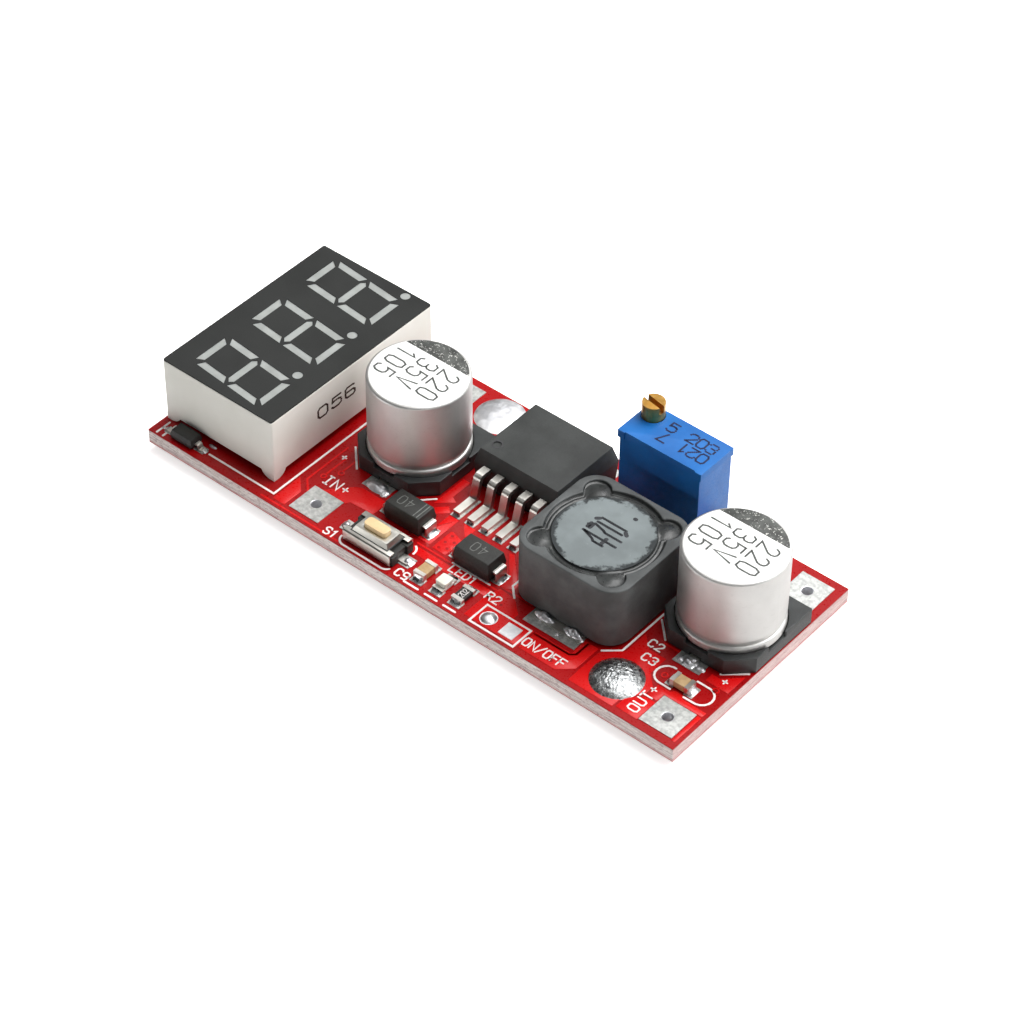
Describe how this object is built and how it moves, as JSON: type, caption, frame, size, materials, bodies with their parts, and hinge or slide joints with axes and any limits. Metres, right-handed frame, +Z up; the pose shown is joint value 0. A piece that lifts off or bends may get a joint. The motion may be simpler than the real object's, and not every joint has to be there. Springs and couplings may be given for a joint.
{
  "type": "step-down voltage converter board",
  "caption": "Small step-down power converter board with a digit display, shielded coil, aluminium capacitors, a regulator, an adjustment screw and a push button.",
  "frame": {"origin": "under the middle of the board, at the height of its lowest solder joints", "axes": "+X along the board from the display to the output pads, +Y from the display's bottom edge side with the push button to the trimmer side, +Z up out of the parts side"},
  "size_m": [0.0634, 0.0258, 0.0142],
  "materials": {
    "alumina": "white ceramic plate",
    "black_mould": "black moulding compound",
    "brass": "turned brass",
    "can": "satin aluminium can",
    "chip_ceramic": "tan ceramic",
    "copper_tab": "tinned copper tab",
    "cream_plastic": "cream plastic",
    "display_body": "off-white moulded plastic",
    "display_light": "milky light guide, unlit",
    "display_mask": "matt charcoal face",
    "ferrite": "matt grey ferrite",
    "glue": "dark glossy resin",
    "lamp_lens": "milky resin",
    "regulator_mould": "matt grey-black moulding compound",
    "solder": "bright uneven solder",
    "solder_mask": "glossy red solder resist over glass-fibre board",
    "steel": "satin steel sheet",
    "tin": "bright tinned copper",
    "trimmer_blue": "blue moulded plastic",
    "white_plastic": "white plastic",
    "wire": "enamelled copper wire"
  },
  "bodies": {
    "board": {"board": "solder_mask", "terminal_pads": "tin", "enable_pads": "solder", "mounting_solder": "solder", "smd_pads": "tin", "joint_solder": "solder", "display_housing": "display_body", "display_face": "display_mask", "display_segments": "display_light", "display_back": "solder_mask", "display_pins": "tin", "controller_body": "black_mould", "controller_leads": "tin", "input_capacitor_can": "can", "input_capacitor_base": "black_mould", "input_capacitor_leads": "tin", "output_capacitor_can": "can", "output_capacitor_base": "black_mould", "output_capacitor_leads": "tin", "regulator_body": "regulator_mould", "regulator_tab": "copper_tab", "regulator_leads": "tin", "inductor_shield": "ferrite", "inductor_drum": "ferrite", "inductor_winding": "wire", "inductor_glue": "glue", "inductor_clips": "tin", "trimmer_housing": "trimmer_blue", "trimmer_element": "alumina", "trimmer_base": "trimmer_blue", "trimmer_pins": "tin", "switch_base": "black_mould", "switch_cover": "steel", "switch_dome": "steel", "switch_terminals": "tin", "input_diode_body": "black_mould", "input_diode_leads": "tin", "catch_diode_body": "black_mould", "catch_diode_leads": "tin", "small_diode_body": "black_mould", "small_diode_leads": "tin", "filter_capacitor_body": "chip_ceramic", "filter_capacitor_ends": "tin", "output_chip_body": "chip_ceramic", "output_chip_ends": "tin", "lamp_resistor_body": "black_mould", "lamp_resistor_ends": "tin", "lamp_base": "white_plastic", "lamp_lens": "lamp_lens", "lamp_ends": "tin"},
    "screw": {"trimmer_screw": "brass"},
    "carriage": {"trimmer_carriage": "white_plastic"},
    "button": {"switch_button": "cream_plastic"}
  },
  "joints": [
    {"name": "screw_turn", "type": "hinge", "parent": "board", "child": "screw", "pos_m": [0.01026, 0.01088, 0.008], "axis": [0, 0, 1], "range_deg": [-4500, 4500]},
    {"name": "carriage_slide", "type": "slide", "parent": "board", "child": "carriage", "axis": [0, 0, 1], "range_m": [-0.0022, 0.0022]},
    {"name": "button_press", "type": "slide", "parent": "board", "child": "button", "axis": [0, 0, -1], "range_m": [0, 0.00025], "stiffness_N_per_m": 2000, "springref_m": -0.0005, "deforming": ["switch_dome"]}
  ],
  "couplings": [
    {"joint": "screw_turn", "follows": "carriage_slide", "rad_per_m": -35699}
  ]
}
